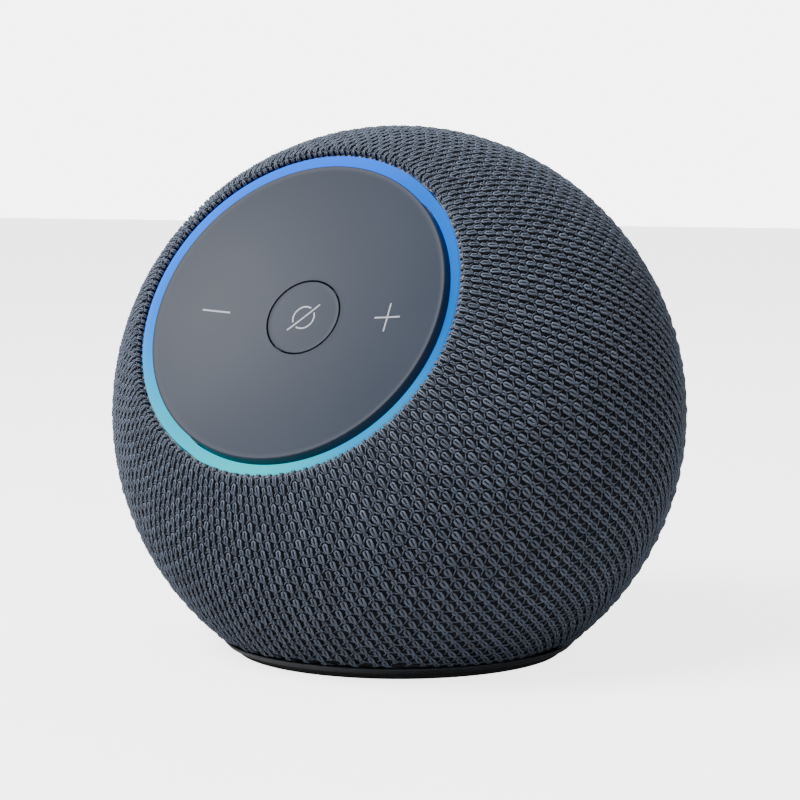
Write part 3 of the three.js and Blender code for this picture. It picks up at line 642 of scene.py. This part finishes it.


# A near-black sheet under the loops that closes the holes between them; its colour is painted shade, the shade
# that falls in those holes. One thin sheet between the opening and the hem, on great circles from one rim to
# the other, with the rolled lip at the opening. It gets its thickness inwards and is closed at both rims.
def makeShadeSheet():
    angle = np.arange(shadeSheetShape["steps"]) * 2 * np.pi / shadeSheetShape["steps"]
    outward = np.cos(angle)[:, None] * panelUp + np.sin(angle)[:, None] * panelRight
    radius, height, outR, outH, tilt = lipLine()
    pick = np.arange(0, len(radius), 2)
    lip = radius[pick, None, None] * outward + height[pick, None, None] * panelAxis
    lipNormal = outR[pick, None, None] * outward + outH[pick, None, None] * panelAxis
    first = math.sin(tilt) * outward + math.cos(tilt) * panelAxis
    drop = (hemHeight + shadeSheetShape["hemGap"] - ballCentre[2]) / ballRadius
    hemR = math.sqrt(1 - drop**2)  # the hem starts at the rear, as the opening starts at its top
    last = np.stack([hemR * np.sin(angle), hemR * np.cos(angle), np.full(len(angle), drop)], -1)
    gap = np.arccos(np.clip((first * last).sum(1), -1, 1))[None, :, None]
    t = np.linspace(0, 1, shadeSheetShape["rows"])[:, None, None]
    body = (np.sin((1 - t) * gap) * first + np.sin(t * gap) * last) / np.sin(gap)
    outer = np.concatenate([lip, body * ballRadius])
    normal = np.concatenate([lipNormal, body])
    top = outer - shadeSheetShape["depth"] * normal
    under = outer - (shadeSheetShape["depth"] + shadeSheetShape["thickness"]) * normal
    points = np.concatenate([top, under[::-1]]) + ballCentre
    faces = gridFaces(len(points), shadeSheetShape["steps"], closeRows=True)
    shadeSheetMesh = tidyMesh(meshFrom("knit_shade_sheet", points.reshape(-1, 3), faces))
    size, low = inletHole + shadeSheetShape["inletGap"], shadeSheetShape["cutFrom"]
    return carve(shadeSheetMesh, [cylinder("inletCut", size, low, behind, rearward, panelRight, inletAt)])


knitPieces = makeKnitPieces()
shadeSheet = makeShadeSheet()
print("knit made")


# Yarn: each loop has its own tone, broken up by fine fibres, with a soft sheen
def makeYarnMaterial():
    look = {"dark": (0.013, 0.017, 0.026), "mid": (0.045, 0.058, 0.084), "light": (0.070, 0.089, 0.126),
            "places": (0.25, 0.55, 0.95), "fibre": 2600, "detail": 4, "toneShare": 0.35, "bump": 0.6,
            "depth": 0.05, "rough": 0.72, "sheen": 0.05, "sheenRough": 0.4, "gloss": 0.35}
    material = bpy.data.materials.new("knit_yarn")
    material.use_nodes = True
    tree = material.node_tree
    shader = tree.nodes["Principled BSDF"]
    tone = addNode(tree, "ShaderNodeAttribute", attribute_name="tone")
    place = addNode(tree, "ShaderNodeTexCoord")
    fibre = addNode(tree, "ShaderNodeTexNoise")
    setInputs(fibre, {"Scale": look["fibre"], "Detail": look["detail"]})
    mixTone = addNode(tree, "ShaderNodeMath", operation="MULTIPLY_ADD")
    setInputs(mixTone, {1: look["toneShare"]})
    ramp = addNode(tree, "ShaderNodeValToRGB")
    first, middle, last = look["places"]
    ramp.color_ramp.elements[0].position = first
    ramp.color_ramp.elements[0].color = (*look["dark"], 1)
    ramp.color_ramp.elements[1].position = last
    ramp.color_ramp.elements[1].color = (*look["light"], 1)
    ramp.color_ramp.elements.new(middle).color = (*look["mid"], 1)
    bump = addNode(tree, "ShaderNodeBump")
    setInputs(bump, {"Strength": look["bump"], "Distance": look["depth"] * mm})
    wire(
        tree,
        (place, "Object", fibre, "Vector"),
        (tone, "Fac", mixTone, 0),
        (fibre, 0, mixTone, 2),
        (mixTone, 0, ramp, "Fac"),
        (fibre, 0, bump, "Height"),
        (ramp, "Color", shader, "Base Color"),
        (bump, "Normal", shader, "Normal"),
    )
    setInputs(shader, {"Roughness": look["rough"], "Specular IOR Level": look["gloss"]})
    setInputs(shader, {"Sheen Weight": look["sheen"], "Sheen Roughness": look["sheenRough"]})
    return material


# The sheet under the loops: its near-black tones are painted shade, the shade that falls in the holes between the
# stitches
def makeShadeSheetMaterial():
    look = {"dark": (0.0015, 0.002, 0.004), "light": (0.006, 0.007, 0.011), "rough": (0.85, 0.95),
            "grain": 1400, "bump": 0.8, "depth": 0.12, "cloud": 700, "gloss": 0.2}
    return makeFinish("knit_shade_sheet", look)


yarnMaterial = makeYarnMaterial()
for piece in knitPieces:
    piece.data.materials.append(yarnMaterial)
    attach(piece, "root")
shadeSheet.data.materials.append(makeShadeSheetMaterial())
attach(shadeSheet, "root")
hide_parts("fabric_sleeve")
print("knit dressed")

# The control panel: a shallow dish with a rounded rim, a round hole for the button and a plain side wall
panelShape = {
    "dishDepth": 3.5 * mm,
    "chamfer": 0.25 * mm,
    "wall": 1.6 * mm,
    "rim": 0.3 * mm,
    "holeEdge": 0.06 * mm,
    "rings": 26,
}
panelRadius = panelReach["outer"]
panelEdge = panelReach["high"] + panelShape["dishDepth"] * (
    1 - ((panelRadius - panelShape["chamfer"]) / panelRadius) ** 2
)


# The dish's height along the panel's axis is a paraboloid of the radius
def dish(radius):
    return panelEdge - panelShape["dishDepth"] * (1 - (np.asarray(radius) / panelRadius) ** 2)


# The panel's outline: a bead at the hole, the dish, a rounded rim, the side wall and the underside
def makeControlPanel():
    hole = panelReach["inner"]
    rim, edge, wall = panelShape["rim"], panelShape["holeEdge"], panelShape["wall"]
    turn = np.linspace(0, np.pi / 2, 6)
    radii = np.linspace(hole + edge, panelRadius - rim, panelShape["rings"])
    top = np.stack([radii, dish(radii)], -1)
    fall = dish(panelRadius - rim)
    rimArc = np.stack([panelRadius - rim + rim * np.sin(turn), fall - rim + rim * np.cos(turn)], -1)[1:]
    low = panelReach["low"]
    side = np.array([[panelRadius, low], [panelRadius - wall, low]])
    underRadii = np.linspace(panelRadius - wall, hole, 12)
    under = np.stack([underRadii, dish(underRadii) - wall], -1)
    beadHeight = dish(hole + edge) - edge
    bead = np.stack([hole + edge - edge * np.cos(turn), beadHeight + edge * np.sin(turn)], -1)[:-1]
    outline = np.concatenate([bead, top, rimArc, side, under])
    piece = sharpen(turned("control_panel_face", outline, 224))
    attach(piece, "root")
    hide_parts("control_panel")
    return piece


# The button's outline: the same dish, a bead, a flange that holds it in and a stem to its switch
def makeMuteButton():
    button = {"edge": 0.07 * mm, "flange": 1.5 * mm, "flangeThick": 0.8 * mm, "flangeDrop": 0.3 * mm,
              "stem": 1.6 * mm}
    radius = buttonReach["outer"] - button["flange"]
    edge = button["edge"]
    turn = np.linspace(0, np.pi / 2, 5)
    radii = np.linspace(0, radius - edge, 10)
    top = np.stack([radii, dish(radii)], -1)
    beadHeight = dish(radius - edge) - edge
    bead = np.stack([radius - edge + edge * np.sin(turn), beadHeight + edge * np.cos(turn)], -1)[1:]
    flangeTop = float(dish(radius)) - panelShape["wall"] - button["flangeDrop"]
    flangeLow = flangeTop - button["flangeThick"]
    rest = [
        (radius, flangeTop),
        (radius + button["flange"], flangeTop),
        (radius + button["flange"], flangeLow),
        (button["stem"], flangeLow),
        (button["stem"], buttonReach["low"]),
        (0, buttonReach["low"]),
    ]
    piece = sharpen(turned("mute_button_cap", np.concatenate([top, bead, rest]), 128))
    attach(piece, "mute_button")
    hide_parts("mute_button")
    return piece


# A printed stroke: a thin raised strip that follows a line of (across, up) points over the dish
def stroke(name, line, width, lift=0.022 * mm):
    line = np.asarray(line, float)
    ahead = np.gradient(line, axis=0)
    ahead /= np.linalg.norm(ahead, axis=1, keepdims=True)
    across = np.stack([-ahead[:, 1], ahead[:, 0]], -1) * width / 2
    rails = [(line + across, lift), (line - across, lift), (line - across, -lift), (line + across, -lift)]
    section = []
    for rail, up in rails:
        height = dish(np.hypot(rail[:, 0], rail[:, 1])) + up
        section.append(
            ballCentre + rail[:, :1] * panelRight + rail[:, 1:] * panelUp + height[:, None] * panelAxis
        )
    points = np.stack(section, 1).reshape(-1, 3)
    count = len(line)
    faces = [tuple(f) for f in gridFaces(count, 4)]
    faces += [(0, 1, 2, 3), tuple(4 * (count - 1) + k for k in (3, 2, 1, 0))]
    piece = meshFrom(name, points, faces, smooth=False)
    return tidyMesh(piece)


# The marks: straight strokes for minus and plus, and on the button a slash between two arcs of a circle
def makeSymbols():
    mark = {"offset": 17.75 * mm, "half": 2.72 * mm, "line": 0.30 * mm}
    icon = {"radius": 2.14 * mm, "slash": 3.7 * mm, "gap": 0.62 * mm, "line": 0.29 * mm}
    t = np.linspace(-1, 1, 13)[:, None]
    flat = np.array([[1.0, 0.0]])
    tall = np.array([[0.0, 1.0]])
    bars = {
        "minus_mark": (np.array([[-mark["offset"], 0]]) + t * mark["half"] * flat, mark["line"]),
        "plus_mark_across": (np.array([[mark["offset"], 0]]) + t * mark["half"] * flat, mark["line"]),
        "plus_mark_up": (np.array([[mark["offset"], 0]]) + t * mark["half"] * tall, mark["line"]),
    }
    pieces = []
    for name, (line, width) in bars.items():
        pieces.append((stroke(name, line, width), "root"))
    diagonal = np.array([[1.0, 1.0]]) / math.sqrt(2)
    pieces.append((stroke("mute_slash", t * icon["slash"] * diagonal, icon["line"]), "mute_button"))
    clear = math.asin(icon["gap"] / icon["radius"])
    for name, start in (("mute_arc_upper", math.pi / 4), ("mute_arc_lower", 5 * math.pi / 4)):
        angle = np.linspace(start + clear, start + math.pi - clear, 33)
        line = icon["radius"] * np.stack([np.cos(angle), np.sin(angle)], -1)
        pieces.append((stroke(name, line, icon["line"]), "mute_button"))
    return pieces


def makePrintMaterial():
    look = {"dark": (0.17, 0.175, 0.205), "light": (0.20, 0.205, 0.235), "rough": (0.5, 0.6), "grain": 6000,
            "bump": 0.1, "depth": 0.01}
    return makeFinish("printed_marks", look)


panelPiece = makeControlPanel()
buttonPiece = makeMuteButton()
for piece in (panelPiece, buttonPiece):
    piece.data.materials.append(slotFinish["panel_plastic"])
printMaterial = makePrintMaterial()
for piece, body in makeSymbols():
    piece.data.materials.append(printMaterial)
    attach(piece, body)
print("panel made")

# The light ring, between the panel's wall and the cloth: a straight slope crowned by a parabola
ringShape = {"crown": 0.12 * mm, "drop": 1.13 * mm, "points": 9}


def makeLightRing():
    inner, outer = ringReach["inner"], ringReach["outer"]
    high, low = ringReach["high"], ringReach["low"]
    innerTop = high - ringShape["drop"]
    t = np.linspace(0, 1, ringShape["points"])
    face = np.stack([outer + (inner - outer) * t, high + (innerTop - high) * t], -1)
    face[:, 1] += ringShape["crown"] * 4 * t * (1 - t)
    outline = np.concatenate([face, [[inner, low], [outer, low]]])
    piece = sharpen(turned("light_ring_guide", outline, 224))
    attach(piece, "root")
    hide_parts("light_ring")
    return piece


# The glow changes colour round the ring: u is the share of a turn from the right, anticlockwise
def makeGlowMaterial():
    glow = [
        (0.000, (0.0, 0.20, 0.85)),
        (0.125, (0.0, 0.22, 1.15)),
        (0.250, (0.0, 0.27, 1.90)),
        (0.375, (0.0, 0.31, 2.00)),
        (0.500, (0.0, 0.34, 1.80)),
        (0.625, (0.0, 0.80, 1.15)),
        (0.750, (0.0, 1.00, 1.12)),
        (0.875, (0.0, 0.45, 1.00)),
        (1.000, (0.0, 0.20, 0.85)),
    ]
    look = {"base": (0.0, 0.012, 0.03), "rough": (0.25, 0.4), "grain": 2400, "gloss": 0.05, "strength": 1.0}
    material = bpy.data.materials.new("light_guide")
    material.use_nodes = True
    tree = material.node_tree
    shader = tree.nodes["Principled BSDF"]
    turn = addNode(tree, "ShaderNodeUVMap", uv_map="turn")
    split = addNode(tree, "ShaderNodeSeparateXYZ")
    wrap = addNode(tree, "ShaderNodeMath", operation="FRACT")
    ramp = addNode(tree, "ShaderNodeValToRGB")
    ramp.color_ramp.interpolation = "EASE"
    while len(ramp.color_ramp.elements) < len(glow):
        ramp.color_ramp.elements.new(0.5)
    for element, (position, colour) in zip(ramp.color_ramp.elements, glow):
        element.position = position
        element.color = (*colour, 1)
    grain = addNode(tree, "ShaderNodeGroup", node_tree=grainGroup)
    setInputs(grain, {"Size": look["grain"]})
    rough = addNode(tree, "ShaderNodeMapRange")
    low, high = look["rough"]
    setInputs(rough, {"To Min": low, "To Max": high})
    wire(
        tree,
        (turn, "UV", split, "Vector"),
        (split, "X", wrap, 0),
        (wrap, 0, ramp, "Fac"),
        (ramp, "Color", shader, "Emission Color"),
        (grain, "Mask", rough, "Value"),
        (rough, "Result", shader, "Roughness"),
    )
    setInputs(shader, {"Base Color": (*look["base"], 1), "Specular IOR Level": look["gloss"]})
    setInputs(shader, {"Emission Strength": look["strength"]})
    return material


ringPiece = makeLightRing()
ringPiece.data.materials.append(makeGlowMaterial())
print("ring made")

# The base: a dark band under the hem, its groove for the foot, and four counterbored screw holes
origin = np.zeros(3)
cutPast = 1.0 * mm  # how far a cutting tool runs past what it cuts


def makeBase():
    base = {"bandRound": 0.25 * mm, "edge": 0.15 * mm, "taper": 0.95 * mm, "hemGap": 0.1 * mm,
            "shelf": 2.1 * mm, "screwHead": 2.0 * mm, "screwHole": 1.25 * mm, "headSeat": 1.0 * mm,
            "foot": 0.1 * mm}
    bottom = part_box("base_cover")[0].z
    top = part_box("base_cover")[1].z
    bandTop = hemHeight - base["hemGap"]
    outer, edge = baseReach["outer"], base["edge"]
    inner, rim = footReach["inner"] - base["foot"], footReach["outer"] + base["foot"]
    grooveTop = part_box("foot_ring")[1].z + base["foot"]
    stepRadius = outer - base["shelf"]
    corners = [
        (0, bottom, 0),
        (inner, bottom, edge),
        (inner, grooveTop, 0),
        (rim, grooveTop, 0),
        (rim, bottom, edge),
        (outer - base["taper"], bottom, base["bandRound"]),
        (outer, bandTop - edge, base["bandRound"]),
        (outer - edge, bandTop, 0),
        (stepRadius, bandTop, 0),
        (stepRadius, top, 0),
        (0, top, 0),
    ]
    piece = turned("base_cover_shell", rounded(corners), 200, upright, panelRight, origin)
    cuts = []
    for number in (1, 2, 3, 4):
        least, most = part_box(f"base_screw_{number}")
        at = np.array([(least.x + most.x) / 2, (least.y + most.y) / 2, 0.0])
        headTop = grooveTop + base["headSeat"]
        for size, high in ((base["screwHole"], top + cutPast), (base["screwHead"], headTop)):
            cuts.append(cylinder("cut", size, -cutPast, high, upright, panelRight, at, 32))
    carve(piece, cuts)
    smoothAll(piece)
    sharpen(piece)
    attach(piece, "root")
    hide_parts("base_cover")
    return piece


# The foot: a ring whose lower face is a cosine wave of shallow grooves
def makeFoot():
    low, high = 0.0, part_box("foot_ring")[1].z
    inner, outer = footReach["inner"], footReach["outer"]
    tread = {"grooves": 5, "deep": 0.12 * mm, "margin": 0.5 * mm, "slope": 0.45 * mm}
    face = np.linspace(inner + tread["margin"], outer - tread["margin"], 41)
    t = (face - face[0]) / (face[-1] - face[0])
    wave = tread["deep"] * (0.5 - 0.5 * np.cos(2 * np.pi * tread["grooves"] * t))
    bottom = np.stack([face, low + wave], -1)
    rest = [(outer, tread["slope"]), (outer, high), (inner, high), (inner, tread["slope"])]
    outline = np.concatenate([bottom, rest])
    piece = sharpen(turned("foot_ring_tread", outline, 160, upright, panelRight, origin), 50)
    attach(piece, "root")
    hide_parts("foot_ring")
    return piece


# The power inlet: a round bezel whose face follows the ball, a pocket for the plug and a throat to the jack
def makeInlet():
    # the blank is longer than the ball is deep, and the ball's own surface trims it
    inlet = {"blank": 0.06, "sunk": 0.35 * mm, "pocket": 5.2 * mm, "throat": 3.0 * mm, "floor": 1.2 * mm,
             "edge": 0.18 * mm}
    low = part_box("inlet_bezel")[0].y
    flush = ballRadius - inlet["sunk"]
    high = inlet["blank"]
    outer = cylinder("inlet_bezel_face", inletHole, low, high, rearward, panelRight, inletAt, 120)
    angle = np.linspace(-np.pi / 2, np.pi / 2, 121)
    halfCircle = np.stack([flush * np.cos(angle), flush * np.sin(angle)], -1)
    globe = turned("globe", halfCircle, 240, upright, panelRight)
    piece = carve(outer, [globe], "INTERSECT")
    pocketLow = low + inlet["floor"]
    pocket = cylinder("cut", inlet["pocket"], pocketLow, behind, rearward, panelRight, inletAt, 120)
    throat = cylinder("cut", inlet["throat"], low - cutPast, behind, rearward, panelRight, inletAt)
    piece = carve(piece, [pocket, throat])
    smoothAll(piece)
    bevel = piece.modifiers.new("edges", "BEVEL")
    bevel.width = inlet["edge"]
    bevel.segments = 3
    bevel.limit_method = "ANGLE"
    bevel.angle_limit = math.radians(40)
    sharpen(piece, 40)
    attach(piece, "root")
    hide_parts("inlet_bezel")
    return piece


for piece, finish in ((makeBase(), "dark_plastic"), (makeFoot(), "rubber"), (makeInlet(), "dark_plastic")):
    piece.data.materials.append(slotFinish[finish])
print("base and inlet made")

# The woofer's surround and spider, which on the real woofer bend with the cone. Each is made in sectors that
# run from its still rim to its moving neck.
suspension = {
    "sectors": 12,
    "steps": 6,
    "woofer_surround": {"thick": 0.5 * mm, "lip": 1.4 * mm, "slot": "rubber"},
    "woofer_spider": {"thick": 0.4 * mm, "waves": 2, "slot": "spider_cloth"},
}


# The surround's line: a flat lip, a half circle that hangs down, and a flat rim
def surroundLine():
    facts, span = suspension["woofer_surround"], reach("woofer_surround", upright, origin)
    bend = span["high"] - span["low"] - facts["thick"]
    level = span["high"] - facts["thick"] / 2
    inner = span["inner"] + facts["lip"]
    angle = np.linspace(np.pi, 2 * np.pi, 13)
    roll = np.stack([inner + bend + bend * np.cos(angle), level + bend * np.sin(angle)], -1)
    line = np.concatenate([[[span["inner"], level]], roll, [[span["outer"], level]]])
    return line, inner, inner + 2 * bend


# The spider's line: a sine wave about its middle height
def spiderLine():
    facts, span = suspension["woofer_spider"], reach("woofer_spider", upright, origin)
    t = np.linspace(0, 1, 25)
    wave = (span["high"] - span["low"] - facts["thick"]) / 2
    height = (span["high"] + span["low"]) / 2 + wave * np.sin(2 * np.pi * facts["waves"] * t)
    radius = span["inner"] + (span["outer"] - span["inner"]) * t
    return np.stack([radius, height], -1), span["inner"], span["outer"]


# Gives a line its thickness to both sides, carries it round one sector at a time and closes the ends
def makeSuspension(node, line, inner, outer):
    facts, sectors = suspension[node], suspension["sectors"]
    ahead = np.gradient(line, axis=0)
    ahead /= np.linalg.norm(ahead, axis=1, keepdims=True)
    half = np.stack([-ahead[:, 1], ahead[:, 0]], -1) * facts["thick"] / 2
    outline = np.concatenate([line + half, (line - half)[::-1]])
    count, rows = len(outline), suspension["steps"] + 1
    ends = [tuple(range(count)), tuple(range(rows * count - 1, (rows - 1) * count - 1, -1))]
    for sector in range(sectors):
        angle = (sector + np.linspace(0, 1, rows)) * 2 * np.pi / sectors
        outward = np.stack([np.cos(angle), np.sin(angle), np.zeros(rows)], -1)
        points = outline[None, :, :1] * outward[:, None] + outline[None, :, 1:] * upright
        faces = [tuple(f) for f in gridFaces(rows, count)] + ends
        piece = sharpen(tidyMesh(meshFrom(f"{node}_{sector + 1}", points.reshape(-1, 3), faces)))
        piece.data.materials.append(slotFinish[facts["slot"]])
        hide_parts(node)
        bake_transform(piece)


makeSuspension("woofer_surround", *surroundLine())
makeSuspension("woofer_spider", *spiderLine())
print("suspension made")

# Every CAD node that still shows gets the finish of its slot
for entry in frame["record"]["subparts"]:
    node = frame["nodes"][entry["node"]]
    finish = slotFinish.get(entry["material_slot"])
    if not node.hide_render and finish is not None:
        node.data.materials.clear()
        node.data.materials.append(finish)


# A square floor
def makeFloor():
    half = studio["floorHalf"]
    points = [(-half, -half, 0), (half, -half, 0), (half, half, 0), (-half, half, 0)]
    floor = meshFrom("floor", points, [(0, 1, 2, 3)], smooth=False)
    tone = studio["floorTone"]
    dark, light = (tuple(share * c for c in tone) for share in studio["floorShade"])
    look = {"dark": dark, "light": light, "rough": (0.8, 0.9), "bump": 0, "gloss": 0.2}
    finish = makeFinish("floor", look)
    tree = finish.node_tree
    shader = tree.nodes["Principled BSDF"]
    path = addNode(tree, "ShaderNodeLightPath")
    bright = addNode(tree, "ShaderNodeMath", operation="MULTIPLY")
    setInputs(bright, {1: studio["floorGlow"]})
    wire(tree, (path, "Is Camera Ray", bright, 0), (bright, 0, shader, "Emission Strength"))
    setInputs(shader, {"Emission Color": (*tone, 1)})
    floor.data.materials.append(finish)


makeFloor()
print("all made")
